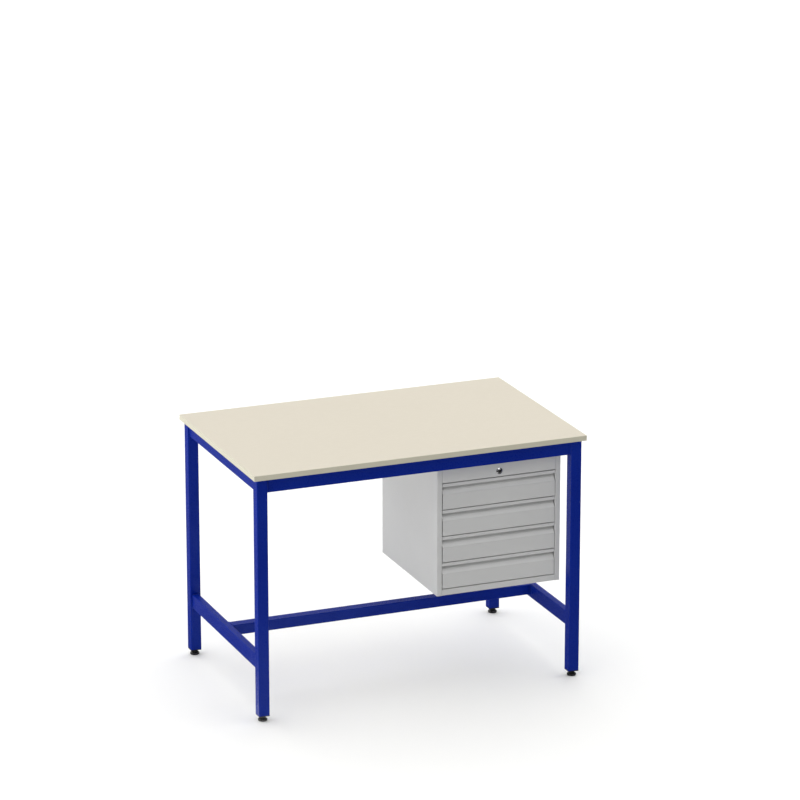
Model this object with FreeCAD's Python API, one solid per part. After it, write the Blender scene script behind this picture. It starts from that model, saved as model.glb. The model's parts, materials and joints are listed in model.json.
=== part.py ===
import FreeCAD, Part
import math
import os

# Workbench with a hanging cabinet of four drawers. Millimetres, +Z up, +X to the right, the front
# faces -Y. The origin is on the floor under the middle of the worktop.

Vector = FreeCAD.Vector
ALONG_X = Vector(1, 0, 0)
ALONG_Y = Vector(0, 1, 0)
ALONG_Z = Vector(0, 0, 1)

# Worktop
top_width = 1200.0
top_depth = 750.0
top_thickness = 18.0
laminate = 0.8
edging = 2.0

# Welded tube frame
overhang = 12.5
leg_size = 38.0
rail_height = 50.0
rail_width = 25.0
tube_wall = 2.0
tube_corner = 3.0
lower_rail_top = 227.0

# Levelling feet
foot_height = 19.0
foot_radius = 16.0
foot_pad_height = 10.0
neck_across_flats = 19.0
stud_radius = 4.95
stud_length = 45.0
insert_flange = 3.0
insert_depth = 24.0
thread_radius = 5.0

underside = foot_height + insert_flange + 832.0
leg_bottom = foot_height + insert_flange
frame_x = top_width / 2 - overhang
frame_y = top_depth / 2 - overhang
leg_x = frame_x - leg_size / 2
leg_y = frame_y - leg_size / 2
inner_x = frame_x - leg_size
inner_y = frame_y - leg_size

# Drawer cabinet; depths are measured back from its front face
sheet = 1.0
cabinet_left = 69.0
cabinet_width = 455.0
cabinet_front = -leg_y - rail_width / 2 + rail_width + 0.5
cabinet_depth = 496.0
cabinet_bottom = 350.0
cabinet_top = underside - rail_height
cabinet_middle = cabinet_left + cabinet_width / 2
stile_width = 18.5
stile_return = 9.0
bottom_bar = 21.2

# Drawers, counted from the top
drawer_count = 4
front_gap = 2.0
level_gap = 3.0
drawer_pitch = 94.0
front_height = drawer_pitch - level_gap
front_width = cabinet_width - 2 * (stile_width + front_gap)
grip_depth = 16.0
lip_height = 11.0
grip_bottom = 38.0
grip_top = 13.5
lock_rail_bottom = cabinet_bottom + bottom_bar + level_gap + drawer_count * drawer_pitch

# Drawer trays
tray_side = 32.2
tray_front = grip_depth + sheet
tray_back = 463.0
tray_rise = 6.0
tray_height = 70.0
tab_rise = 60.0
tab_reach = 16.0
tab_drop = 12.0
tab_width = 16.0

# Ball-bearing runners
runner_front = 20.0
runner_length = 440.0
runner_height = 45.0
runner_rise = tray_rise + tray_height / 2
runner_sheet = 1.2
post_width = 32.0
post_front = 30.0
post_back = 420.0

# Lock
lock_height = 769.5
bezel_radius = 11.5
crank_radius = 7.0
rod_radius = 4.0
rod_end = 478.0
arm_thickness = 3.0
pin_radius = 2.0
bar_front = 483.0
bar_thickness = 2.0
bar_width = 30.0
bar_bottom = 385.0
bar_top = 783.5
bar_middle = cabinet_middle - crank_radius / 2
hook_width = 12.0


# Small building blocks ---------------------------------------------------------------------------

def block(x0, x1, y0, y1, z0, z1):
    """A box between two corners."""
    return Part.makeBox(x1 - x0, y1 - y0, z1 - z0, Vector(x0, y0, z0))


def rod(radius, start, end):
    """A round bar between two points."""
    return Part.makeCylinder(radius, (end - start).Length, start, end - start)


def back(distance):
    """The Y of a depth measured from the cabinet's front face."""
    return cabinet_front + distance


def rounded_rectangle(width, height, radius):
    """A closed wire about the origin, in the XY plane."""
    plate = block(-width / 2, width / 2, -height / 2, height / 2, 0, 1)
    uprights = [e for e in plate.Edges if abs(e.tangentAt(e.FirstParameter).z) > 0.9]
    plate = plate.makeFillet(radius, uprights)
    bottom = min(plate.Faces, key=lambda face: face.CenterOfMass.z)
    return bottom.OuterWire


def tube(direction, size_1, size_2, start, length):
    """A box-section tube that starts at a point on its own centre line.

    The two sizes lie along Y and Z for a tube along X, X and Z along Y, and X and Y along Z.
    """
    outside = rounded_rectangle(size_1, size_2, tube_corner)
    inside = rounded_rectangle(
        size_1 - 2 * tube_wall, size_2 - 2 * tube_wall, tube_corner - tube_wall
    )
    solid = Part.Face(outside).extrude(ALONG_Z * length)
    solid = solid.cut(Part.Face(inside).extrude(ALONG_Z * length))
    if direction == ALONG_X:
        turn = FreeCAD.Rotation(Vector(1, 1, 1), 120)
    elif direction == ALONG_Y:
        turn = FreeCAD.Rotation(ALONG_X, -90)
    else:
        turn = FreeCAD.Rotation()
    solid.Placement = FreeCAD.Placement(start, turn)
    return solid


def rounded_path(points, radii):
    """A wire through points, with one bend radius for each inner point."""
    edges = []
    start = points[0]
    for before, corner, after, radius in zip(points, points[1:], points[2:], radii):
        towards_before = (before - corner).normalize()
        towards_after = (after - corner).normalize()
        half_angle = towards_before.getAngle(towards_after) / 2
        inward = (towards_before + towards_after).normalize()
        leave = corner + towards_before * (radius / math.tan(half_angle))
        arrive = corner + towards_after * (radius / math.tan(half_angle))
        middle = corner + inward * (radius / math.sin(half_angle) - radius)
        edges.append(Part.LineSegment(start, leave).toShape())
        edges.append(Part.Arc(leave, middle, arrive).toShape())
        start = arrive
    edges.append(Part.LineSegment(start, points[-1]).toShape())
    return Part.Wire(edges)


def folded(points, radii, thickness, along, toward):
    """Sheet metal folded along a path and swept straight.

    The path is one face of the metal, which lies towards the given side of the path's first run.
    An offset wire lies to its right, seen from the positive end of the axis it is swept along.
    """
    axis = Vector(abs(along.x), abs(along.y), abs(along.z))
    right_hand = (points[1] - points[0]).cross(axis)
    if right_hand.dot(toward) < 0:
        points = points[::-1]
        radii = radii[::-1]
    path = rounded_path(points, radii)
    section = path.makeOffset2D(thickness, fill=True, openResult=True, join=0)
    return section.Faces[0].extrude(along)


def hexagon_bar(across_flats, centre, axis, length):
    """A six-sided bar that starts at a centre point."""
    corners = []
    for step in range(7):
        angle = math.radians(60 * step)
        radius = across_flats / math.sqrt(3)
        corners.append(Vector(radius * math.cos(angle), radius * math.sin(angle), 0))
    bar = Part.Face(Part.makePolygon(corners)).extrude(ALONG_Z * length)
    bar.Placement = FreeCAD.Placement(centre, FreeCAD.Rotation(ALONG_Z, axis))
    return bar


def mirrored(shape, x):
    """A copy on the other side of a plane of constant X."""
    return shape.mirror(Vector(x, 0, 0), ALONG_X)


def group(shapes):
    """Separate solids kept in one node."""
    return Part.makeCompound(shapes)


def corner_signs():
    """Name, X side and Y side of each corner of the bench."""
    for depth_name, side_y in (("front", -1), ("back", 1)):
        for width_name, side_x in (("left", -1), ("right", 1)):
            yield f"{depth_name}_{width_name}", side_x, side_y


# Frame -------------------------------------------------------------------------------------------

def make_legs():
    parts = {}
    for name, side_x, side_y in corner_signs():
        start = Vector(side_x * leg_x, side_y * leg_y, leg_bottom)
        parts["leg_" + name] = tube(ALONG_Z, leg_size, leg_size, start, underside - leg_bottom)
    return parts


def make_rails():
    top_z = underside - rail_height / 2
    low_z = lower_rail_top - rail_height / 2
    side_face = leg_x - rail_width / 2
    parts = {}
    for name, side in (("front", -1), ("back", 1)):
        start = Vector(-inner_x, side * leg_y, top_z)
        parts["top_rail_" + name] = tube(ALONG_X, rail_width, rail_height, start, 2 * inner_x)
    for name, side in (("left", -1), ("right", 1)):
        top = Vector(side * leg_x, -inner_y, top_z)
        low = Vector(side * leg_x, -inner_y, low_z)
        parts["top_rail_" + name] = tube(ALONG_Y, rail_width, rail_height, top, 2 * inner_y)
        parts["lower_rail_" + name] = tube(ALONG_Y, rail_width, rail_height, low, 2 * inner_y)
    start = Vector(-side_face, 0, lower_rail_top - leg_size / 2)
    parts["lower_stretcher"] = tube(ALONG_X, leg_size, leg_size, start, 2 * side_face)
    return parts


def bearer_places():
    """X of the two cross bearers above the cabinet."""
    inset = 60.0
    return {
        "left": cabinet_left + inset,
        "right": cabinet_left + cabinet_width - inset,
    }


def bolt_depths():
    return back(60.0), back(436.0)


def make_bearers(bolt_hole):
    half_length = leg_y - rail_width / 2
    parts = {}
    for name, x in bearer_places().items():
        start = Vector(x, -half_length, underside - rail_height / 2)
        bearer = tube(ALONG_Y, rail_width, rail_height, start, 2 * half_length)
        for y in bolt_depths():
            below = Vector(x, y, cabinet_top - 1)
            bearer = bearer.cut(rod(bolt_hole, below, below + ALONG_Z * 10))
        parts["hanger_bearer_" + name] = bearer
    return parts


def make_leg_inserts():
    plug_size = leg_size - 2 * tube_wall - 0.4
    inserts = []
    for name, side_x, side_y in corner_signs():
        centre = Vector(side_x * leg_x, side_y * leg_y, foot_height)
        flange = Part.Face(rounded_rectangle(leg_size, leg_size, tube_corner))
        plug = Part.Face(rounded_rectangle(plug_size, plug_size, 2.0))
        flange = flange.extrude(ALONG_Z * insert_flange)
        plug = plug.extrude(ALONG_Z * (insert_flange + insert_depth))
        insert = flange.fuse(plug).removeSplitter()
        insert.translate(centre)
        thread = rod(thread_radius, centre - ALONG_Z, centre + ALONG_Z * 40)
        inserts.append(insert.cut(thread))
    return {"leg_end_inserts": group(inserts)}


def make_foot(x, y):
    """A round pad with a six-sided neck and a threaded stud, moulded together."""
    base = Vector(x, y, 0)
    profile = rounded_path(
        [
            Vector(0, 0, 0),
            Vector(foot_radius, 0, 0),
            Vector(foot_radius, 0, 6.5),
            Vector(10.5, 0, foot_pad_height),
            Vector(0, 0, foot_pad_height),
        ],
        [2.0, 2.0, 2.0],
    )
    outline = Part.Wire(profile.Edges + [Part.makeLine(Vector(0, 0, foot_pad_height), Vector(0, 0, 0))])
    pad = Part.Face(outline).revolve(Vector(0, 0, 0), ALONG_Z, 360)
    neck_start = Vector(0, 0, foot_pad_height - 1)
    neck = hexagon_bar(neck_across_flats, neck_start, ALONG_Z, foot_height - foot_pad_height + 1)
    stud_base = Vector(0, 0, foot_height - 1)
    stud = rod(stud_radius, stud_base, stud_base + ALONG_Z * (stud_length + 1))
    tip = max(stud.Edges, key=lambda edge: edge.CenterOfMass.z)
    stud = stud.makeChamfer(1.0, [tip])
    foot = pad.multiFuse([neck, stud]).removeSplitter()
    foot.translate(base)
    return foot


def make_feet():
    parts = {}
    for name, side_x, side_y in corner_signs():
        parts["foot_" + name] = make_foot(side_x * leg_x, side_y * leg_y)
    return parts


# Worktop -----------------------------------------------------------------------------------------

def lug_places():
    """Centre of each fixing hole, and the direction from the hole to its rail."""
    reach = rail_width / 2 + 12.5
    places = []
    for x in (-400.0, 0.0, 400.0):
        places.append((Vector(x, -leg_y + reach, underside), -ALONG_Y))
        places.append((Vector(x, leg_y - reach, underside), ALONG_Y))
    places.append((Vector(-leg_x + reach, 0, underside), -ALONG_X))
    places.append((Vector(leg_x - reach, 0, underside), ALONG_X))
    return places


def make_worktop():
    half_x = top_width / 2
    half_y = top_depth / 2
    core_x = half_x - edging
    core_y = half_y - edging
    top = underside + top_thickness
    core = block(-core_x, core_x, -core_y, core_y, underside + laminate, top - laminate)
    skin = block(-core_x, core_x, -core_y, core_y, top - laminate, top)
    backing = block(-core_x, core_x, -core_y, core_y, underside, underside + laminate)
    for place, toward_rail in lug_places():
        pilot = rod(2.1, place - ALONG_Z, place + ALONG_Z * 13)
        core = core.cut(pilot)
        backing = backing.cut(pilot)
    parts = {
        "worktop_core": core,
        "worktop_top_laminate": skin,
        "worktop_backing_laminate": backing,
    }
    bands = {
        "front": block(-half_x, half_x, -half_y, -core_y, underside, top),
        "back": block(-half_x, half_x, core_y, half_y, underside, top),
        "left": block(-half_x, -core_x, -core_y, core_y, underside, top),
        "right": block(core_x, half_x, -core_y, core_y, underside, top),
    }
    parts.update({"edge_band_" + name: band for name, band in bands.items()})
    return parts


def make_worktop_fixings():
    """Lugs welded inside the top rails, and the screws up into the board."""
    thickness = 3.0
    half_width = 15.0
    lugs = []
    screws = []
    for place, toward_rail in lug_places():
        across = toward_rail.cross(ALONG_Z)
        rail_face = place + toward_rail * 12.5
        path = [
            place - toward_rail * 12.5,
            rail_face,
            rail_face - ALONG_Z * 30,
        ]
        path = [point - across * half_width for point in path]
        lug = folded(path, [thickness], thickness, across * (2 * half_width), -ALONG_Z)
        lug = lug.cut(rod(2.2, place - ALONG_Z * 5, place + ALONG_Z * 5))
        lugs.append(lug)
        head_top = place - ALONG_Z * thickness
        shank = rod(2.0, head_top, head_top + ALONG_Z * 15)
        head = Part.makeCone(2.6, 4.2, 2.4, head_top - ALONG_Z * 2.4)
        screws.append(head.fuse(shank).removeSplitter())
    return {"worktop_fixing_lugs": group(lugs), "worktop_screws": group(screws)}


# Cabinet -----------------------------------------------------------------------------------------

def make_cabinet_side():
    """The left side with its front stile and rear flange, folded from one sheet."""
    x = cabinet_left
    z = cabinet_bottom + sheet
    path = [
        Vector(x + 16, back(cabinet_depth), z),
        Vector(x, back(cabinet_depth), z),
        Vector(x, back(0), z),
        Vector(x + stile_width, back(0), z),
        Vector(x + stile_width, back(stile_return), z),
    ]
    height = cabinet_top - cabinet_bottom - 2 * sheet
    return folded(path, [2.0, 2.0, 1.6], sheet, ALONG_Z * height, -ALONG_Y)


def make_cabinet_base():
    """The bottom plate, with the bar under the lowest drawer folded up from it."""
    left = cabinet_left
    plate = block(
        left, left + cabinet_width, back(4), back(cabinet_depth), cabinet_bottom, cabinet_bottom + sheet
    )
    inset = stile_width + 0.4
    x = left + inset
    path = [
        Vector(x, back(14), cabinet_bottom + bottom_bar),
        Vector(x, back(0), cabinet_bottom + bottom_bar),
        Vector(x, back(0), cabinet_bottom),
        Vector(x, back(20), cabinet_bottom),
    ]
    bar = folded(path, [1.6, 2.0], sheet, ALONG_X * (cabinet_width - 2 * inset), -ALONG_Z)
    corner = block(left, left + inset - 0.1, back(0), back(4), cabinet_bottom, cabinet_bottom + sheet)
    other = mirrored(corner, cabinet_middle)
    return plate.multiFuse([bar, corner, other]).removeSplitter()


def make_lock_rail():
    """The fixed panel above the top drawer, folded back above and below."""
    inset = stile_width + 0.4
    x = cabinet_left + inset
    path = [
        Vector(x, back(16), cabinet_top - sheet),
        Vector(x, back(0), cabinet_top - sheet),
        Vector(x, back(0), lock_rail_bottom),
        Vector(x, back(14), lock_rail_bottom),
    ]
    rail = folded(path, [1.6, 1.6], sheet, ALONG_X * (cabinet_width - 2 * inset), -ALONG_Z)
    axis = Vector(cabinet_middle, back(-1), lock_height)
    return rail.cut(rod(9.5, axis, axis + ALONG_Y * 6))


def make_cabinet_top(bolt_hole):
    right = cabinet_left + cabinet_width
    top = block(cabinet_left, right, back(0), back(cabinet_depth), cabinet_top - sheet, cabinet_top)
    for x in bearer_places().values():
        for y in bolt_depths():
            below = Vector(x, y, cabinet_top - 5)
            top = top.cut(rod(bolt_hole, below, below + ALONG_Z * 10))
    return top


def make_cabinet_bolts():
    """Hexagon-head bolts up through the cabinet's top plate into the bearers."""
    head_height = 4.0
    bolts = []
    for x in bearer_places().values():
        for y in bolt_depths():
            under_plate = Vector(x, y, cabinet_top - sheet)
            head = hexagon_bar(10.0, under_plate - ALONG_Z * head_height, ALONG_Z, head_height)
            shank = rod(3.0, under_plate, under_plate + ALONG_Z * 16)
            bolts.append(head.fuse(shank).removeSplitter())
    return group(bolts)


def make_cabinet():
    bolt_hole = 3.3
    left = make_cabinet_side()
    back_inset = 2.2
    back_panel = block(
        cabinet_left + back_inset,
        cabinet_left + cabinet_width - back_inset,
        back(cabinet_depth - 2 * sheet),
        back(cabinet_depth - sheet),
        cabinet_bottom + sheet,
        cabinet_top - sheet,
    )
    parts = make_bearers(bolt_hole)
    parts["cabinet_side_left"] = left
    parts["cabinet_side_right"] = mirrored(left, cabinet_middle)
    parts["cabinet_back"] = back_panel
    parts["cabinet_base"] = make_cabinet_base()
    parts["cabinet_lock_rail"] = make_lock_rail()
    parts["cabinet_top"] = make_cabinet_top(bolt_hole)
    parts["cabinet_bolts"] = make_cabinet_bolts()
    return parts


# Runners -----------------------------------------------------------------------------------------

def drawer_bottom(number):
    """Lower edge of a drawer front; number 1 is the top drawer."""
    return cabinet_bottom + bottom_bar + level_gap + (drawer_count - number) * drawer_pitch


def runner_channel(open_x, web_x, height, centre_z, front, length, thickness):
    """One channel of a runner on the left side, with its web at web_x and its mouth at open_x."""
    x_mouth = cabinet_left + open_x
    x_web = cabinet_left + web_x
    low = centre_z - height / 2
    high = centre_z + height / 2
    path = [
        Vector(x_mouth, back(front), high),
        Vector(x_web, back(front), high),
        Vector(x_web, back(front), low),
        Vector(x_mouth, back(front), low),
    ]
    return folded(path, [2.0, 2.0], thickness, ALONG_Y * length, -ALONG_Z)


def post_depths():
    return post_front, post_back


def make_runner_posts():
    """Four folded uprights that hold the runners clear of the stiles."""
    posts = []
    z = cabinet_bottom + 2 * sheet
    for front in post_depths():
        path = [
            Vector(cabinet_left + sheet, back(front + post_width), z),
            Vector(cabinet_left + stile_width + sheet, back(front + post_width), z),
            Vector(cabinet_left + stile_width + sheet, back(front), z),
            Vector(cabinet_left + sheet, back(front), z),
        ]
        post = folded(
            path, [2.0, 2.0], runner_sheet, ALONG_Z * (cabinet_top - z - 2 * sheet), -ALONG_Y
        )
        for number in range(1, drawer_count + 1):
            post = post.cut(screw_hole(number, front))
        posts += [post, mirrored(post, cabinet_middle)]
    return group(posts)


def screw_centre(number, front):
    z = drawer_bottom(number) + runner_rise
    return Vector(cabinet_left + stile_width + sheet, back(front + post_width / 2), z)


def screw_hole(number, front):
    centre = screw_centre(number, front)
    return rod(2.2, centre - ALONG_X * 4, centre + ALONG_X * 4)


def make_runner_screws():
    """Low-head screws through the outer runner channels into the posts."""
    screws = []
    for number in range(1, drawer_count + 1):
        for front in post_depths():
            seat = screw_centre(number, front) + ALONG_X * runner_sheet
            head = rod(4.0, seat, seat + ALONG_X * 0.8)
            shank = rod(2.0, seat - ALONG_X * 6, seat)
            screw = head.fuse(shank).removeSplitter()
            screws += [screw, mirrored(screw, cabinet_middle)]
    return group(screws)


def make_runners():
    outer = []
    parts = {"runner_posts": make_runner_posts(), "runner_screws": make_runner_screws()}
    for number in range(1, drawer_count + 1):
        centre_z = drawer_bottom(number) + runner_rise
        channel = runner_channel(
            30.5, 19.5, runner_height, centre_z, runner_front, runner_length, runner_sheet
        )
        for front in post_depths():
            channel = channel.cut(screw_hole(number, front))
        outer.append(channel)
        middle = runner_channel(
            30.0, 22.0, 34.6, centre_z, runner_front + 2, runner_length - 10, 1.1
        )
        inner = runner_channel(
            24.5, tray_side, 23.0, centre_z, runner_front, runner_length, runner_sheet
        )
        parts[f"drawer_{number}_runner_middle"] = group([middle, mirrored(middle, cabinet_middle)])
        parts[f"drawer_{number}_runner_inner"] = group([inner, mirrored(inner, cabinet_middle)])
    parts["runner_outer_left"] = group(outer)
    parts["runner_outer_right"] = group([mirrored(channel, cabinet_middle) for channel in outer])
    return parts


# Drawers -----------------------------------------------------------------------------------------

def make_drawer_front(bottom):
    """A folded front: flat face, sloped finger recess across its full width, and a hemmed lip."""
    top = bottom + front_height
    x = cabinet_middle - front_width / 2
    profile = [
        (grip_depth + sheet, bottom + 12),
        (grip_depth + sheet, bottom),
        (0, bottom),
        (0, top - grip_bottom),
        (grip_depth, top - grip_top),
        (grip_depth, top - sheet),
        (sheet, top - sheet),
        (sheet, top - lip_height + sheet),
        (2 * sheet, top - lip_height + sheet),
        (2 * sheet, top - 4),
    ]
    bends = [1.5, 1.5, 5.0, 2.0, 0.8, 0.8, 0.4, 0.4]
    path = [Vector(x, back(depth), z) for depth, z in profile]
    return folded(path, bends, sheet, ALONG_X * front_width, -ALONG_Y)


def make_tray(bottom):
    """A folded tray with turned-in top edges and a catch tab on its rear wall."""
    left = cabinet_left + tray_side
    right = cabinet_left + cabinet_width - tray_side
    low = bottom + tray_rise
    high = low + tray_height
    front_top = bottom + front_height - 2
    shell = block(left, right, back(tray_front), back(tray_back), low, high)
    lower_edges = [edge for edge in shell.Edges if edge.BoundBox.ZMax < low + 0.1]
    shell = shell.makeFillet(1.6, lower_edges)
    room = block(
        left + sheet, right - sheet, back(tray_front + sheet), back(tray_back - sheet), low + sheet, high + 1
    )
    shell = shell.cut(room)
    front_wall = block(left, right, back(tray_front), back(tray_front + sheet), low + 5, front_top)
    fold = 6.0
    rims = [
        block(left, left + fold, back(tray_front), back(tray_back), high - sheet, high),
        block(right - fold, right, back(tray_front), back(tray_back), high - sheet, high),
        block(left, right, back(tray_back - fold), back(tray_back), high - sheet, high),
    ]
    tab_left = bar_middle - tab_width / 2
    tab_top = bottom + tab_rise
    path = [
        Vector(tab_left, back(tray_back - sheet / 2), tab_top),
        Vector(tab_left, back(tray_back + tab_reach), tab_top),
        Vector(tab_left, back(tray_back + tab_reach), tab_top - tab_drop),
    ]
    tab = folded(path, [2.5], 1.5, ALONG_X * tab_width, -ALONG_Z)
    return shell.multiFuse([front_wall, tab] + rims).removeSplitter()


def make_drawers():
    parts = {}
    for number in range(1, drawer_count + 1):
        bottom = drawer_bottom(number)
        parts[f"drawer_{number}_front"] = make_drawer_front(bottom)
        parts[f"drawer_{number}_tray"] = make_tray(bottom)
    return parts


# Lock --------------------------------------------------------------------------------------------

def make_lock_housing():
    """A coned bezel and a threaded body through the lock rail, with its nut behind the rail."""
    face = Vector(cabinet_middle, back(0), lock_height)
    cone = Part.makeCone(bezel_radius, 7.5, 2.5, face - ALONG_Y * 0.5, -ALONG_Y)
    bezel = rod(bezel_radius, face - ALONG_Y * 0.5, face).fuse(cone)
    body = rod(9.4, face - ALONG_Y * 0.5, face + ALONG_Y * 24)
    core = rod(6.6, face - ALONG_Y * 5, face + ALONG_Y * 25)
    housing = bezel.fuse(body).cut(core).removeSplitter()
    nut = hexagon_bar(24.0, face + ALONG_Y * sheet, ALONG_Y, 4.0)
    nut = nut.cut(rod(9.45, face, face + ALONG_Y * 10))
    return group([housing, nut])


def make_lock_barrel():
    face = Vector(cabinet_middle, back(-4.5), lock_height)
    barrel = rod(6.55, face, face + ALONG_Y * 28.5)
    rim = min(barrel.Edges, key=lambda edge: edge.CenterOfMass.y)
    barrel = barrel.makeFillet(0.8, [rim])
    keyway = block(
        face.x - 1.0, face.x + 1.0, face.y - 1, face.y + 10, face.z - 4.2, face.z + 4.2
    )
    return barrel.cut(keyway)


def make_lock_rod():
    """A long rod from the barrel to the rear, with a crank arm and its pin."""
    start = Vector(cabinet_middle, back(24), lock_height)
    shaft = rod(rod_radius, start, Vector(cabinet_middle, back(rod_end), lock_height))
    arm = block(
        cabinet_middle - crank_radius, cabinet_middle, back(rod_end), back(rod_end + arm_thickness),
        lock_height - rod_radius, lock_height + rod_radius,
    )
    pin_start = Vector(cabinet_middle - crank_radius, back(rod_end), lock_height)
    arm_end = rod(rod_radius, pin_start, pin_start + ALONG_Y * arm_thickness)
    hub_start = Vector(cabinet_middle, back(rod_end), lock_height)
    hub = rod(rod_radius, hub_start, hub_start + ALONG_Y * arm_thickness)
    pin = rod(pin_radius, pin_start, pin_start + ALONG_Y * 10)
    return shaft.multiFuse([arm, arm_end, hub, pin]).removeSplitter()


def make_rod_hanger():
    """A small folded bracket under the cabinet's top plate, with a hole that holds the rod's end."""
    half_width = 12.0
    y = back(440)
    path = [
        Vector(cabinet_middle - half_width, y + 18, cabinet_top - sheet),
        Vector(cabinet_middle - half_width, y, cabinet_top - sheet),
        Vector(cabinet_middle - half_width, y, lock_height - 10),
    ]
    hanger = folded(path, [2.0], 1.5, ALONG_X * (2 * half_width), -ALONG_Z)
    centre = Vector(cabinet_middle, y, lock_height)
    return hanger.cut(rod(rod_radius + 0.06, centre - ALONG_Y * 5, centre + ALONG_Y * 5))


def make_lock_bar():
    """A sliding bar with one upward hook for each drawer and a slot for the crank pin."""
    left = bar_middle - bar_width / 2
    bar = block(
        left, left + bar_width, back(bar_front), back(bar_front + bar_thickness), bar_bottom, bar_top
    )
    slot_up = 4.2
    slot = block(
        cabinet_middle - crank_radius - 3, cabinet_middle + 3, back(bar_front - 1), back(bar_front + 4),
        lock_height - slot_up, lock_height + slot_up,
    )
    hook_front = tray_back + 2
    hooks = []
    for number in range(1, drawer_count + 1):
        hook_top = drawer_bottom(number) + tab_rise - tab_drop - 2
        path = [
            Vector(bar_middle - hook_width / 2, back(hook_front), hook_top),
            Vector(bar_middle - hook_width / 2, back(hook_front), hook_top - 12),
            Vector(bar_middle - hook_width / 2, back(bar_front + 1), hook_top - 12),
        ]
        hooks.append(folded(path, [2.6], 2.0, ALONG_X * hook_width, ALONG_Y))
    return bar.cut(slot).multiFuse(hooks).removeSplitter()


def make_bar_guides():
    """Two staples on the back panel that the lock bar slides in."""
    clearance = 0.5
    lip = 4.0
    thickness = 1.5
    x_low = bar_middle - bar_width / 2 - clearance - thickness
    x_high = bar_middle + bar_width / 2 + clearance + thickness
    y_back = back(cabinet_depth - 2 * sheet)
    y_front = back(bar_front) - clearance - thickness
    guides = []
    for z in (388.0, 715.0):
        path = [
            Vector(x_low + thickness + lip, y_front, z),
            Vector(x_low, y_front, z),
            Vector(x_low, y_back, z),
            Vector(x_high, y_back, z),
            Vector(x_high, y_front, z),
            Vector(x_high - thickness - lip, y_front, z),
        ]
        guides.append(folded(path, [1.8, 1.8, 1.8, 1.8], thickness, ALONG_Z * 12, ALONG_Y))
    return group(guides)


def make_lock():
    return {
        "lock_housing": make_lock_housing(),
        "lock_barrel": make_lock_barrel(),
        "lock_rod": make_lock_rod(),
        "lock_rod_hanger": make_rod_hanger(),
        "lock_bar": make_lock_bar(),
        "lock_bar_guides": make_bar_guides(),
    }


def main():
    os.makedirs("parts", exist_ok=True)
    makers = (
        make_legs, make_rails, make_leg_inserts, make_feet, make_worktop, make_worktop_fixings,
        make_cabinet, make_runners, make_drawers, make_lock,
    )
    for maker in makers:
        for node, shape in maker().items():
            shape.exportStep(f"parts/{node}.step")


main()
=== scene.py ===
"""Workbench with a hanging cabinet of four drawers: finishes, small details, light and camera."""

import json
import math

import bmesh
import bpy
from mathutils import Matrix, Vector


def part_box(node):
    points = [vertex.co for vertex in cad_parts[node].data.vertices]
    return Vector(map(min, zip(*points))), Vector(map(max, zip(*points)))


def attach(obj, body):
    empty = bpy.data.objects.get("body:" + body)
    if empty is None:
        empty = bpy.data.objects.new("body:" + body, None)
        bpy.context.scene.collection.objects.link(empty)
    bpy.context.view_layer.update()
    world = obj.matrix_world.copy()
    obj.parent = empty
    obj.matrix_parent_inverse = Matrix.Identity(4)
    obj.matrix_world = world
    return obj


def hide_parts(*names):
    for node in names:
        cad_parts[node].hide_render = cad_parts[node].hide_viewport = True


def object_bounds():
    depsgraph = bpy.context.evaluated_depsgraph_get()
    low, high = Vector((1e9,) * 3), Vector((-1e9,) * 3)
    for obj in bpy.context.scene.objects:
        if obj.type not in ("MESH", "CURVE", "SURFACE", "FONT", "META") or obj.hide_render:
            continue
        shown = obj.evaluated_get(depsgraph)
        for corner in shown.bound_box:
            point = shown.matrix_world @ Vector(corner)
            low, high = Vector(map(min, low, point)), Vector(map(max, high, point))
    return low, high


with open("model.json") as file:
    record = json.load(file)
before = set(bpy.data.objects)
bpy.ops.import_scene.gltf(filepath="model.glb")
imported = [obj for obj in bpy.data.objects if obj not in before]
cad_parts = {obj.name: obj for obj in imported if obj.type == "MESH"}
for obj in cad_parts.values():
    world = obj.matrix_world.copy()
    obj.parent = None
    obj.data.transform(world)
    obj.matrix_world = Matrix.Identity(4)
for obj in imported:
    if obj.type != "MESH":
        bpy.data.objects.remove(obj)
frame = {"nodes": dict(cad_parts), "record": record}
cad_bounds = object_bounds()

MM = 0.001
SLOT_OF_NODE = {part["node"]: part["material_slot"] for part in frame["record"]["subparts"]}
CORNERS = ("front_left", "front_right", "back_left", "back_right")
DRAWERS = (1, 2, 3, 4)


# Material nodes ----------------------------------------------------------------------------------

# Most of a noise texture's values lie between these two.
NOISE_LOW, NOISE_HIGH = 0.3, 0.7


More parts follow.
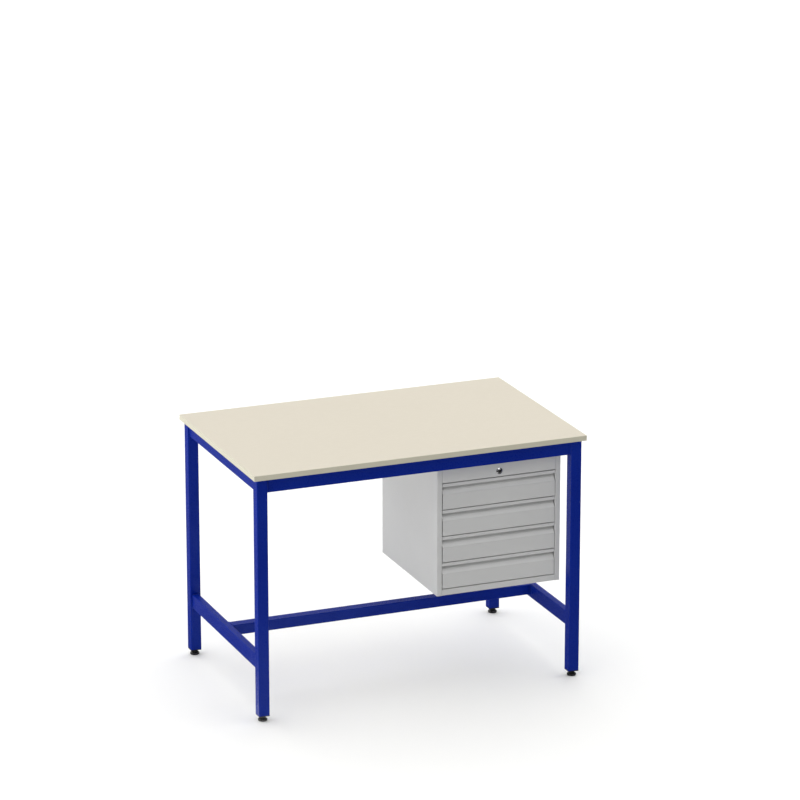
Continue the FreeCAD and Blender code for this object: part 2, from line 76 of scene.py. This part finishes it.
class Finish:
    """A material under construction: a Principled shader and the nodes that feed it.

    Textures read object coordinates, so their scales count features per metre.
    """

    def __init__(self, name, **constants):
        self.material = bpy.data.materials.new(name)
        self.material.use_nodes = True
        self.tree = self.material.node_tree
        self.shader = self.tree.nodes["Principled BSDF"]
        for socket, value in constants.items():
            self.shader.inputs[socket.replace("_", " ")].default_value = value
        self.place = self.add("ShaderNodeTexCoord").outputs["Object"]

    def add(self, kind, **settings):
        node = self.tree.nodes.new(kind)
        for name, value in settings.items():
            setattr(node, name, value)
        return node

    def link(self, output, node, socket):
        self.tree.links.new(output, node.inputs[socket])

    def stretched(self, x, y, z):
        """Object coordinates scaled along each axis."""
        mapping = self.add("ShaderNodeMapping")
        mapping.inputs["Scale"].default_value = (x, y, z)
        self.link(self.place, mapping, "Vector")
        return mapping.outputs["Vector"]

    def noise(self, scale, detail=2.0, place=None):
        node = self.add("ShaderNodeTexNoise")
        node.inputs["Scale"].default_value = scale
        node.inputs["Detail"].default_value = detail
        self.link(place or self.place, node, "Vector")
        return node.outputs["Fac"]

    def cells(self, scale, place=None):
        node = self.add("ShaderNodeTexVoronoi")
        node.inputs["Scale"].default_value = scale
        self.link(place or self.place, node, "Vector")
        return node.outputs["Distance"]

    def remap(self, value, low, high, new_low, new_high):
        node = self.add("ShaderNodeMapRange")
        for socket, number in zip(
            ("From Min", "From Max", "To Min", "To Max"), (low, high, new_low, new_high)
        ):
            node.inputs[socket].default_value = number
        self.link(value, node, "Value")
        return node.outputs["Result"]

    def spread(self, noise, low, high):
        """A noise stretched so that most of its values run from low to high."""
        return self.remap(noise, NOISE_LOW, NOISE_HIGH, low, high)

    def product(self, first, second):
        node = self.add("ShaderNodeMath", operation="MULTIPLY")
        for index, value in enumerate((first, second)):
            self.tree.links.new(value, node.inputs[index])
        return node.outputs["Value"]

    def blend(self, amount, first, second):
        """A colour between two others, by an amount from 0 to 1."""
        node = self.add("ShaderNodeMix", data_type="RGBA")
        self.tree.links.new(amount, node.inputs["Factor"])
        for socket, value in (("A", first), ("B", second)):
            target = next(i for i in node.inputs if i.name == socket and i.type == "RGBA")
            if isinstance(value, tuple):
                target.default_value = (*value, 1.0)
            else:
                self.tree.links.new(value, target)
        return next(o for o in node.outputs if o.type == "RGBA")

    def colour(self, output):
        self.link(output, self.shader, "Base Color")

    def roughness(self, output):
        self.link(output, self.shader, "Roughness")

    def relief(self, heights, rounding=0.0):
        """Bumps from pairs of height output and depth in metres, over edges rounded by a radius."""
        normal = None
        if rounding:
            bevel = self.add("ShaderNodeBevel", samples=4)
            bevel.inputs["Radius"].default_value = rounding
            normal = bevel.outputs["Normal"]
        for height, depth in heights:
            bump = self.add("ShaderNodeBump")
            bump.inputs["Strength"].default_value = 1.0
            bump.inputs["Distance"].default_value = depth
            self.link(height, bump, "Height")
            if normal:
                self.link(normal, bump, "Normal")
            normal = bump.outputs["Normal"]
        self.link(normal, self.shader, "Normal")


def powder_coat(name, deep, light, roughness, peel, **constants):
    """Sprayed and baked paint: a slow cloudiness, orange peel in two sizes, and softened edges."""
    coat = Finish(name, **constants)
    coat.colour(coat.blend(coat.spread(coat.noise(7.0, detail=3.0), 0.0, 1.0), deep, light))
    sheen = coat.noise(420.0, detail=1.0)
    coat.roughness(coat.spread(sheen, roughness - 0.05, roughness + 0.05))
    fine_peel = coat.noise(650.0, detail=1.5)
    broad_peel = coat.noise(90.0)
    coat.relief([(fine_peel, peel), (broad_peel, 1.2 * peel)], rounding=0.5 * MM)
    return coat.material


def frame_blue():
    return powder_coat(
        "frame_blue", deep=(0.0012, 0.0150, 0.248), light=(0.0018, 0.0185, 0.270),
        roughness=0.30, peel=0.010 * MM,
        Specular_IOR_Level=0.24, Specular_Tint=(0.60, 0.75, 1.0, 1.0),
    )


def cabinet_grey():
    return powder_coat(
        "cabinet_grey", deep=(0.604, 0.606, 0.602), light=(0.622, 0.625, 0.620),
        roughness=0.38, peel=0.008 * MM, Specular_IOR_Level=0.50,
    )


def laminate_colour(sheet, base, fleck):
    """Printed decor paper: a fine fleck over a slow change of tone."""
    darker = tuple(0.975 * channel for channel in base)
    tone = sheet.blend(sheet.noise(4.0, detail=3.0), base, darker)
    flecks = sheet.remap(sheet.noise(900.0, detail=2.0), 0.62, 0.74, 0.0, 0.55)
    return sheet.blend(flecks, tone, fleck)


def cream_laminate():
    sheet = Finish("cream_laminate", Specular_IOR_Level=0.45)
    sheet.colour(laminate_colour(sheet, base=(0.612, 0.563, 0.464), fleck=(0.550, 0.500, 0.398)))
    rubbed = sheet.noise(30.0, detail=4.0, place=sheet.stretched(1.0, 6.0, 1.0))
    sheet.roughness(sheet.spread(rubbed, 0.38, 0.50))
    texture = sheet.noise(1400.0, detail=1.0)
    sheet.relief([(texture, 0.012 * MM)])
    return sheet.material


def cream_edging():
    band = Finish("cream_edging", Specular_IOR_Level=0.40)
    band.colour(laminate_colour(band, base=(0.615, 0.588, 0.470), fleck=(0.553, 0.524, 0.412)))
    scraped = band.noise(260.0, detail=2.0, place=band.stretched(0.06, 0.06, 1.0))
    band.roughness(band.spread(scraped, 0.42, 0.56))
    band.relief([(scraped, 0.02 * MM)], rounding=0.6 * MM)
    return band.material


def backing_laminate():
    sheet = Finish("backing_laminate", Specular_IOR_Level=0.35)
    fibre = sheet.noise(160.0, detail=4.0, place=sheet.stretched(0.25, 1.0, 1.0))
    sheet.colour(sheet.blend(fibre, (0.61, 0.575, 0.50), (0.69, 0.655, 0.575)))
    sheet.roughness(sheet.spread(fibre, 0.55, 0.7))
    sheet.relief([(sheet.noise(700.0), 0.02 * MM)])
    return sheet.material


def board_core():
    """Pressed chips, flat along the board, with a grain in each."""
    board = Finish("board_core", Specular_IOR_Level=0.2)
    chips = board.cells(320.0, place=board.stretched(0.5, 0.5, 1.6))
    grain = board.noise(700.0, detail=4.0)
    mixed = board.product(board.remap(chips, 0.0, 0.8, 1.0, 0.2), grain)
    shade = board.remap(mixed, 0.1, 0.7, 0.0, 1.0)
    board.colour(board.blend(shade, (0.24, 0.15, 0.08), (0.62, 0.47, 0.29)))
    board.roughness(board.spread(grain, 0.75, 0.9))
    board.relief([(mixed, 0.2 * MM)])
    return board.material


def black_plastic():
    moulded = Finish("black_plastic", Specular_IOR_Level=0.5)
    cloud = moulded.noise(60.0, detail=3.0)
    moulded.colour(moulded.blend(cloud, (0.012, 0.012, 0.013), (0.022, 0.022, 0.024)))
    moulded.roughness(moulded.spread(moulded.noise(500.0), 0.20, 0.32))
    moulded.relief([(moulded.cells(1500.0), 0.02 * MM)], rounding=0.3 * MM)
    return moulded.material


def plated_steel(name, dull, bright, roughness, along=(1.0, 1.0, 1.0)):
    """Bright plating with a faint grain, drawn out along an axis, and slightly darker patches."""
    steel = Finish(name, Metallic=1.0)
    patches = steel.noise(35.0, detail=4.0)
    steel.colour(steel.blend(steel.spread(patches, 0.0, 1.0), dull, bright))
    grain = steel.noise(1600.0, detail=2.0, place=steel.stretched(*along))
    steel.roughness(steel.spread(grain, roughness - 0.07, roughness + 0.07))
    steel.relief([(grain, 0.006 * MM)], rounding=0.2 * MM)
    return steel.material


def zinc_steel():
    return plated_steel(
        "zinc_steel", dull=(0.57, 0.59, 0.62), bright=(0.66, 0.68, 0.71), roughness=0.30,
        along=(1.0, 0.03, 1.0),
    )


def lock_chrome():
    return plated_steel(
        "lock_chrome", dull=(0.42, 0.42, 0.43), bright=(0.50, 0.50, 0.51), roughness=0.19
    )


def lock_barrel_steel():
    return plated_steel(
        "lock_barrel_steel", dull=(0.42, 0.42, 0.43), bright=(0.52, 0.52, 0.53), roughness=0.26
    )


MATERIALS = {
    maker.__name__: maker()
    for maker in (
        frame_blue, cabinet_grey, cream_laminate, cream_edging, backing_laminate, board_core,
        black_plastic, zinc_steel, lock_chrome, lock_barrel_steel,
    )
}


# Meshes ------------------------------------------------------------------------------------------

def dress(obj, slot):
    obj.data.materials.clear()
    obj.data.materials.append(MATERIALS[slot])


def smooth_by_angle(mesh, degrees):
    """Shades smoothly except across edges sharper than an angle."""
    limit = math.radians(degrees)
    form = bmesh.new()
    form.from_mesh(mesh)
    for face in form.faces:
        face.smooth = True
    for edge in form.edges:
        edge.smooth = len(edge.link_faces) == 2 and edge.calc_face_angle() < limit
    form.to_mesh(mesh)
    form.free()


def piece_from(name, form, body, slot, crease=35.0):
    """Turns a finished bmesh into a piece that rides on a body."""
    bmesh.ops.recalc_face_normals(form, faces=form.faces)
    mesh = bpy.data.meshes.new(name)
    form.to_mesh(mesh)
    form.free()
    smooth_by_angle(mesh, crease)
    piece = bpy.data.objects.new(name, mesh)
    bpy.context.scene.collection.objects.link(piece)
    dress(piece, slot)
    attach(piece, body)
    return piece


def skin_rings(form, rings):
    """Joins rings of points, each with the same count, into a surface and caps its ends."""
    made = [[form.verts.new(point) for point in ring] for ring in rings]
    count = len(made[0])
    for lower, upper in zip(made, made[1:]):
        for index in range(count):
            following = (index + 1) % count
            form.faces.new((lower[index], lower[following], upper[following], upper[index]))
    form.faces.new(reversed(made[0]))
    form.faces.new(made[-1])


def circle(centre, radius, sides, z):
    step = 2 * math.pi / sides
    return [
        Vector((centre.x + radius * math.cos(i * step), centre.y + radius * math.sin(i * step), z))
        for i in range(sides)
    ]


# Weld beads --------------------------------------------------------------------------------------

BEAD_RADIUS = 1.9 * MM
BEAD_SIDES = 8
RIPPLE_PITCH = 2.4 * MM
RIPPLE_SHARE = 0.10
RINGS_PER_RIPPLE = 5
END_SHARE = 0.45
GROWTH_PER_RING = 0.2
TUBE_CORNER = 3.0 * MM


def tube_outline(half_wide, half_high, sides):
    """Points round a tube's end, from the top left corner anticlockwise, with cut corners.

    The sides say which of left, bottom, right and top are welded.
    """
    corners = {
        "left": ((-1, 1), (-1, -1)),
        "bottom": ((-1, -1), (1, -1)),
        "right": ((1, -1), (1, 1)),
        "top": ((1, 1), (-1, 1)),
    }
    points = []
    for side in sides:
        start, end = corners[side]
        a = Vector((start[0] * half_wide, start[1] * half_high))
        b = Vector((end[0] * half_wide, end[1] * half_high))
        along = (b - a).normalized()
        points.append(a + along * TUBE_CORNER)
        points.append(b - along * TUBE_CORNER)
    return points


def dense(points, spacing):
    """Points at an even spacing along a path."""
    out = []
    for a, b in zip(points, points[1:]):
        steps = max(1, round((b - a).length / spacing))
        out += [a.lerp(b, step / steps) for step in range(steps)]
    return out + [points[-1]]


def bead(form, path, seat_normal):
    """A rippled bead with tapered ends, along a path that lies on a face with the given normal."""
    path = dense(path, RIPPLE_PITCH / RINGS_PER_RIPPLE)
    run = 0.0
    rings = []
    for index, point in enumerate(path):
        before = path[max(index - 1, 0)]
        after = path[min(index + 1, len(path) - 1)]
        along = (after - before).normalized()
        side = along.cross(seat_normal).normalized()
        run += (point - before).length
        ripple = 1 + RIPPLE_SHARE * math.cos(2 * math.pi * run / RIPPLE_PITCH)
        from_end = min(index, len(path) - 1 - index)
        taper = min(1.0, END_SHARE + GROWTH_PER_RING * from_end)
        radius = BEAD_RADIUS * ripple * taper
        rings.append([
            point + radius * (math.cos(angle) * side + math.sin(angle) * seat_normal)
            for angle in (i * 2 * math.pi / BEAD_SIDES for i in range(BEAD_SIDES))
        ])
    skin_rings(form, rings)


def tube_end(node, axis, side):
    """Centre of a tube's end face and the tube's half sizes across its axis."""
    low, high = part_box(node)
    centre = (low + high) / 2
    half = (high - low) / 2
    centre[axis] = high[axis] if side > 0 else low[axis]
    return centre, half


def weld_tube(form, node, axis, side, sides):
    """A bead round the end of a tube that runs along an axis (0 for X, 1 for Y)."""
    centre, half = tube_end(node, axis, side)
    across = Vector((0, 1, 0)) if axis == 0 else Vector((1, 0, 0))
    up = Vector((0, 0, 1))
    inward = Vector((0, 0, 0))
    inward[axis] = -side
    wide = half.y if axis == 0 else half.x
    outline = tube_outline(wide, half.z, sides)
    path = [centre + across * p.x + up * p.y for p in outline]
    bead(form, path, inward)


def weld_beads():
    """All the beads of the welded frame, in one piece."""
    form = bmesh.new()
    below = ("left", "bottom", "right")
    around = ("left", "bottom", "right", "top")
    for side in (-1, 1):
        for name in ("front", "back"):
            weld_tube(form, "top_rail_" + name, 0, side, below)
        for name in ("left", "right"):
            weld_tube(form, "top_rail_" + name, 1, side, below)
            weld_tube(form, "lower_rail_" + name, 1, side, around)
            weld_tube(form, "hanger_bearer_" + name, 1, side, below)
        weld_tube(form, "lower_stretcher", 0, side, around)
    piece_from("weld_beads", form, "root", "frame_blue", crease=60.0)


# Levelling feet ----------------------------------------------------------------------------------

PAD_HEIGHT = 10 * MM
NECK_TOP = 19 * MM
NECK_HALF_WIDTH = 9.5 * MM
NECK_ROOT_RADIUS = 10.4 * MM
STUD_HOLE_RADIUS = 5.2 * MM
STUD_RADIUS = 4.95 * MM
THREAD_PITCH = 1.5 * MM
THREAD_DEPTH = 0.8 * MM


def pad_profile(radius):
    """Radius and height pairs up the moulded pad, from the middle of its underside to the neck."""
    hollow = 0.6 * MM
    hollow_edge = radius - 5.5 * MM
    sole_edge = radius - 4.5 * MM
    heel = 2 * MM
    rim = 1.1 * MM
    rim_start = 5.6 * MM
    profile = [(0.0, hollow), (hollow_edge, hollow), (sole_edge, 0.0)]
    for degrees in range(-90, 1, 15):
        angle = math.radians(degrees)
        profile.append((radius - heel + heel * math.cos(angle), heel + heel * math.sin(angle)))
    profile.append((radius, rim_start))
    for degrees in range(13, 66, 13):
        angle = math.radians(degrees)
        profile.append((radius - rim + rim * math.cos(angle), rim_start + rim * math.sin(angle)))
    shoulder = ((2.2 * MM, 0.9 * MM), (1.2 * MM, 0.25 * MM), (0.0, 0.0))
    return profile + [(NECK_ROOT_RADIUS + out, PAD_HEIGHT - down) for out, down in shoulder]


def hexagon(centre, half_width, trim, sides, z):
    """A ring round a six-sided bar whose corners are trimmed to a radius."""
    step = 2 * math.pi / sides
    sector = math.radians(60)
    ring = []
    for index in range(sides):
        angle = index * step
        to_flat = half_width / math.cos(angle % sector - sector / 2)
        outward = Vector((math.cos(angle), math.sin(angle), 0))
        ring.append(centre + outward * min(to_flat, trim) + Vector((0, 0, z)))
    return ring


def foot_centre(low, high):
    return Vector(((low.x + high.x) / 2, (low.y + high.y) / 2, 0))


def foot_pad(name, node):
    """The moulded pad and its six-sided neck, chamfered at the top, with a hole for the stud."""
    low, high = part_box(node)
    centre = foot_centre(low, high)
    sides = 72
    smallest = 0.01 * MM
    profile = pad_profile((high.x - low.x) / 2)
    rings = [circle(centre, max(radius, smallest), sides, z) for radius, z in profile]
    corner = NECK_HALF_WIDTH / math.cos(math.radians(30))
    root_height = 0.3 * MM
    chamfer_height, chamfer_width = 1.0 * MM, 0.9 * MM
    hole_depth = 3 * MM
    for z, trim in (
        (PAD_HEIGHT + root_height, corner),
        (NECK_TOP - chamfer_height, corner),
        (NECK_TOP, corner - chamfer_width),
        (NECK_TOP, STUD_HOLE_RADIUS),
        (NECK_TOP - hole_depth, STUD_HOLE_RADIUS),
    ):
        rings.append(hexagon(centre, NECK_HALF_WIDTH, trim, sides, z))
    form = bmesh.new()
    skin_rings(form, rings)
    piece = piece_from(name, form, node, "black_plastic", crease=28.0)
    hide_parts(node)


def foot_stud(name, node):
    """The stud above the foot's neck, with a helical thread and a chamfered top."""
    low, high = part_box(node)
    centre = foot_centre(low, high)
    sides = 24
    start = 16.5 * MM
    lead_in = 0.5 * MM
    run_out = 2 * MM
    chamfer = 0.3 * MM
    core = STUD_RADIUS - THREAD_DEPTH
    turns = int((high.z - start - run_out) / THREAD_PITCH)
    rings = [circle(centre, core, sides, start)]
    for count in range(turns * 2 + 1):
        z = start + count * THREAD_PITCH / 2
        radius = STUD_RADIUS if count % 2 else core
        rings.append([
            Vector((
                centre.x + radius * math.cos(a),
                centre.y + radius * math.sin(a),
                z + THREAD_PITCH * a / (2 * math.pi) + lead_in,
            ))
            for a in (2 * math.pi * i / sides for i in range(sides))
        ])
    rings.append(circle(centre, core - chamfer, sides, high.z))
    form = bmesh.new()
    skin_rings(form, rings)
    piece_from(name, form, node, "zinc_steel", crease=50.0)


def levelling_feet():
    for corner in CORNERS:
        foot_pad("foot_pad_" + corner, "foot_" + corner)
        foot_stud("foot_stud_" + corner, "foot_" + corner)


# Ball cages in the runners -----------------------------------------------------------------------

# Half the outer member's height, less its sheet.
OUTER_INSIDE = 22.5 * MM - 1.2 * MM
MIDDLE_SHEET = 1.1 * MM
ROW_INSET = 4.4 * MM
BALLS_IN_ROW = 16
FIRST_BALL, BALL_SPACING = 0.06, 0.055
CAGE_START, CAGE_END = 0.03, 0.92
CAGE_HALF_WIDTH = 1.6 * MM
CAGE_HALF_THICKNESS = 0.25 * MM
BALL_CLEARANCE = 0.05 * MM


def ball(form, centre, radius):
    made = bmesh.ops.create_icosphere(form, subdivisions=2, radius=radius)
    bmesh.ops.translate(form, verts=made["verts"], vec=centre)


def strip(form, low, high):
    """A thin plate between two corners."""
    made = bmesh.ops.create_cube(form, size=1.0)
    bmesh.ops.scale(form, verts=made["verts"], vec=high - low)
    bmesh.ops.translate(form, verts=made["verts"], vec=(low + high) / 2)


def ball_cages(number):
    """Rows of balls, held in pressed strips, above and below the middle and inner members.

    Places along a row are shares of the middle member's depth.
    """
    low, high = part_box(f"drawer_{number}_runner_middle")
    _, inner_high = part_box(f"drawer_{number}_runner_inner")
    centre_z = (low.z + high.z) / 2
    depth = high.y - low.y
    middle_half = high.z - centre_z
    inner_half = inner_high.z - centre_z
    rows = (
        ((middle_half + OUTER_INSIDE) / 2, OUTER_INSIDE - middle_half),
        ((inner_half + middle_half - MIDDLE_SHEET) / 2, middle_half - MIDDLE_SHEET - inner_half),
    )
    margin = Vector((CAGE_HALF_WIDTH, 0, CAGE_HALF_THICKNESS))
    form = bmesh.new()
    for x in (low.x + ROW_INSET, high.x - ROW_INSET):
        for height, gap in rows:
            radius = gap / 2 - BALL_CLEARANCE
            for z in (centre_z - height, centre_z + height):
                for index in range(BALLS_IN_ROW):
                    y = low.y + depth * (FIRST_BALL + BALL_SPACING * index)
                    ball(form, Vector((x, y, z)), radius)
                strip(
                    form,
                    Vector((x, low.y + CAGE_START * depth, z)) - margin,
                    Vector((x, low.y + CAGE_END * depth, z)) + margin,
                )
    piece_from(f"drawer_{number}_ball_cages", form, f"drawer_{number}_middle", "zinc_steel")


# The carried-over nodes --------------------------------------------------------------------------

def dress_nodes():
    for name, node in frame["nodes"].items():
        dress(node, SLOT_OF_NODE[name])


def soften_board():
    """A small round on the edges of the worktop's edge bands."""
    for side in ("front", "back", "left", "right"):
        round_edges = frame["nodes"]["edge_band_" + side].modifiers.new("edge", "BEVEL")
        round_edges.width = 0.6 * MM
        round_edges.segments = 3
        round_edges.limit_method = "ANGLE"


# Stage -------------------------------------------------------------------------------------------

def stage_plane(name, low, high, height, albedo, seen_by):
    """A level sheet of matt paper between two corners, seen by one kind of ray only."""
    form = bmesh.new()
    corners = [
        form.verts.new((x, y, height))
        for x, y in ((low.x, low.y), (high.x, low.y), (high.x, high.y), (low.x, high.y))
    ]
    form.faces.new(corners)
    mesh = bpy.data.meshes.new(name)
    form.to_mesh(mesh)
    form.free()
    plane = bpy.data.objects.new(name, mesh)
    bpy.context.scene.collection.objects.link(plane)
    plane.visible_camera = seen_by == "camera"
    plane.visible_diffuse = seen_by == "diffuse"
    plane.visible_glossy = seen_by == "glossy"
    plane.visible_transmission = False
    plane.visible_shadow = False
    paper = Finish(name + "_paper", Roughness=1.0, Specular_IOR_Level=0.0)
    paper.colour(albedo(paper))
    mesh.materials.append(paper.material)


def even_paper(albedo):
    """Matt paper, very slightly warm, with a tone that hardly changes."""
    light = (albedo, albedo, 0.985 * albedo)
    deep = (0.995 * albedo, 0.995 * albedo, 0.98 * albedo)
    return lambda paper: paper.blend(paper.noise(0.6), light, deep)


# What gloss sees on the floor, painted light and shade for the bench's gloss to reflect: a bright
# disc round the bench's front left corner, a painted pool of light with a soft rim between its two
# radii, on paper painted with shade that is darkest in front. Lengths are in metres.
PAINTED_LIGHT_POOL = {
    "shift": (0.38, 0.58, 0.0), "inner": 0.35, "outer": 0.88, "fade": 1.5,
    "albedo": 0.98, "front": 0.02, "back": 0.18,
}


def painted_pool_of_light(paper):
    shifted = paper.add("ShaderNodeMapping")
    shifted.inputs["Location"].default_value = PAINTED_LIGHT_POOL["shift"]
    paper.link(paper.place, shifted, "Vector")
    distance = paper.add("ShaderNodeVectorMath", operation="LENGTH")
    paper.link(shifted.outputs["Vector"], distance, 0)
    # Painted light: the bright disc that the bench's gloss reflects.
    inside = paper.remap(distance.outputs["Value"], PAINTED_LIGHT_POOL["inner"], PAINTED_LIGHT_POOL["outer"], 1.0, 0.0)
    parts = paper.add("ShaderNodeSeparateXYZ")
    paper.link(paper.place, parts, "Vector")
    # Painted shade for gloss to reflect: darkest in front, lighter behind.
    backward = paper.remap(parts.outputs["Y"], -PAINTED_LIGHT_POOL["fade"], PAINTED_LIGHT_POOL["fade"], 0.0, 1.0)
    painted_shade = paper.blend(backward, (PAINTED_LIGHT_POOL["front"],) * 3, (PAINTED_LIGHT_POOL["back"],) * 3)
    return paper.blend(inside, painted_shade, (PAINTED_LIGHT_POOL["albedo"],) * 3)


def build_stage():
    """A pale floor, the sheet that lights the bench from below, and the floor that gloss sees,
    which is painted with a pool of light and with shade.
    """
    low, high = cad_bounds
    reach = Vector((150.0, 150.0, 0.0))
    bounce_front = Vector((0.5, 0.8, 0.0))
    bounce_back = Vector((0.5, 0.4, 0.0))
    stage_plane("floor", low - reach, high + reach, 0.0, even_paper(0.96), "camera")
    stage_plane(
        "floor_bounce", low - bounce_front, high + bounce_back, -1 * MM, even_paper(0.95), "diffuse"
    )
    stage_plane("floor_sheen", low - reach / 3, high + reach / 3, -2 * MM, painted_pool_of_light, "glossy")


# Strength of the light on matt surfaces, by its height above the horizon and by side. Each pair
# below is a height, as the Z of its direction, where one band starts to give way and where it has.
SKY = {
    "below": {"left": 2.3, "front": 0.55, "right": 0.70, "back": 0.9},
    "low": {"left": 1.0, "front": 0.05, "right": 0.2, "back": 1.2},
    "middle": {"left": 1.35, "front": 0.05, "right": 1.35, "back": 2.6},
    "top": 1.23,
}
HORIZON = (-0.03, 0.03)
LOW_TO_MIDDLE = (0.15, 0.40)
MIDDLE_TO_TOP = (0.55, 0.90)

# The room that gloss reflects, by side, with a soft box overhead.
REFLECTED = {"left": 1.4, "front": 0.02, "right": 0.05, "back": 0.27, "top": 4.0}
SOFT_BOX_EDGE = (0.50, 0.75)

SIDES = (("left", "X", -1), ("right", "X", 1), ("front", "Y", -1), ("back", "Y", 1))


def build_sky():
    """Soft light from all round, with one strength for matt surfaces and another for gloss."""
    world = bpy.data.worlds.new("studio")
    bpy.context.scene.world = world
    world.use_nodes = True
    world.cycles.sampling_method = "NONE"
    tree = world.node_tree
    background = tree.nodes["Background"]
    background.inputs["Color"].default_value = (1.0, 1.0, 1.0, 1.0)

    def add(kind, *inputs, **settings):
        node = tree.nodes.new(kind)
        for name, value in settings.items():
            setattr(node, name, value)
        for index, value in enumerate(inputs):
            if isinstance(value, (int, float, tuple)):
                node.inputs[index].default_value = value
            else:
                tree.links.new(value, node.inputs[index])
        return node

    def maths(operation, first, second):
        return add("ShaderNodeMath", first, second, operation=operation).outputs["Value"]

    def rises(edge):
        step = add("ShaderNodeMapRange", height, *edge, interpolation_type="SMOOTHSTEP")
        return step.outputs["Result"]

    direction = add("ShaderNodeTexCoord").outputs["Generated"]
    height = add("ShaderNodeSeparateXYZ", direction).outputs["Z"]
    level = add("ShaderNodeVectorMath", direction, (1.0, 1.0, 0.0), operation="MULTIPLY")
    level = add("ShaderNodeVectorMath", level.outputs["Vector"], operation="NORMALIZE")
    level = add("ShaderNodeSeparateXYZ", level.outputs["Vector"])
    toward = {}
    for side, axis, sign in SIDES:
        share = maths("MAXIMUM", maths("MULTIPLY", level.outputs[axis], sign), 0.0)
        toward[side] = maths("MULTIPLY", share, share)

    over_horizon = rises(HORIZON)
    over_low = rises(LOW_TO_MIDDLE)
    over_middle = rises(MIDDLE_TO_TOP)
    bands = {
        "below": maths("SUBTRACT", 1.0, over_horizon),
        "low": maths("SUBTRACT", over_horizon, over_low),
        "middle": maths("SUBTRACT", over_low, over_middle),
    }
    total = maths("MULTIPLY", over_middle, SKY["top"])
    for band, within in bands.items():
        for side, strength in SKY[band].items():
            lobe = maths("MULTIPLY", toward[side], strength)
            total = maths("ADD", total, maths("MULTIPLY", lobe, within))

    room = maths("MULTIPLY", rises(SOFT_BOX_EDGE), REFLECTED["top"])
    for side, amount in toward.items():
        room = maths("ADD", room, maths("MULTIPLY", amount, REFLECTED[side]))
    by_gloss = add("ShaderNodeLightPath").outputs["Is Glossy Ray"]
    strength = add("ShaderNodeMix", by_gloss)
    tree.links.new(total, strength.inputs["A"])
    tree.links.new(room, strength.inputs["B"])
    tree.links.new(strength.outputs["Result"], background.inputs["Strength"])


def build_camera():
    """A long lens in front of the bench, to its left and above, as fitted to the photograph."""
    azimuth = math.radians(-22.15)
    elevation = math.radians(16.89)
    distance = 13.67
    aim = Vector((0.0545, -0.0347, 0.9646))
    backward = Vector((
        math.sin(azimuth) * math.cos(elevation),
        -math.cos(azimuth) * math.cos(elevation),
        math.sin(elevation),
    ))
    data = bpy.data.cameras.new("camera")
    data.lens = 180.41
    data.sensor_width = 36.0
    data.clip_end = 1000.0
    camera = bpy.data.objects.new("camera", data)
    camera.rotation_euler = (-backward).to_track_quat("-Z", "Y").to_euler()
    camera.location = aim + backward * distance
    bpy.context.scene.collection.objects.link(camera)
    bpy.context.scene.camera = camera


dress_nodes()
soften_board()
weld_beads()
levelling_feet()
for drawer in DRAWERS:
    ball_cages(drawer)
build_stage()
build_sky()
build_camera()
bpy.context.scene.view_settings.view_transform = "Standard"
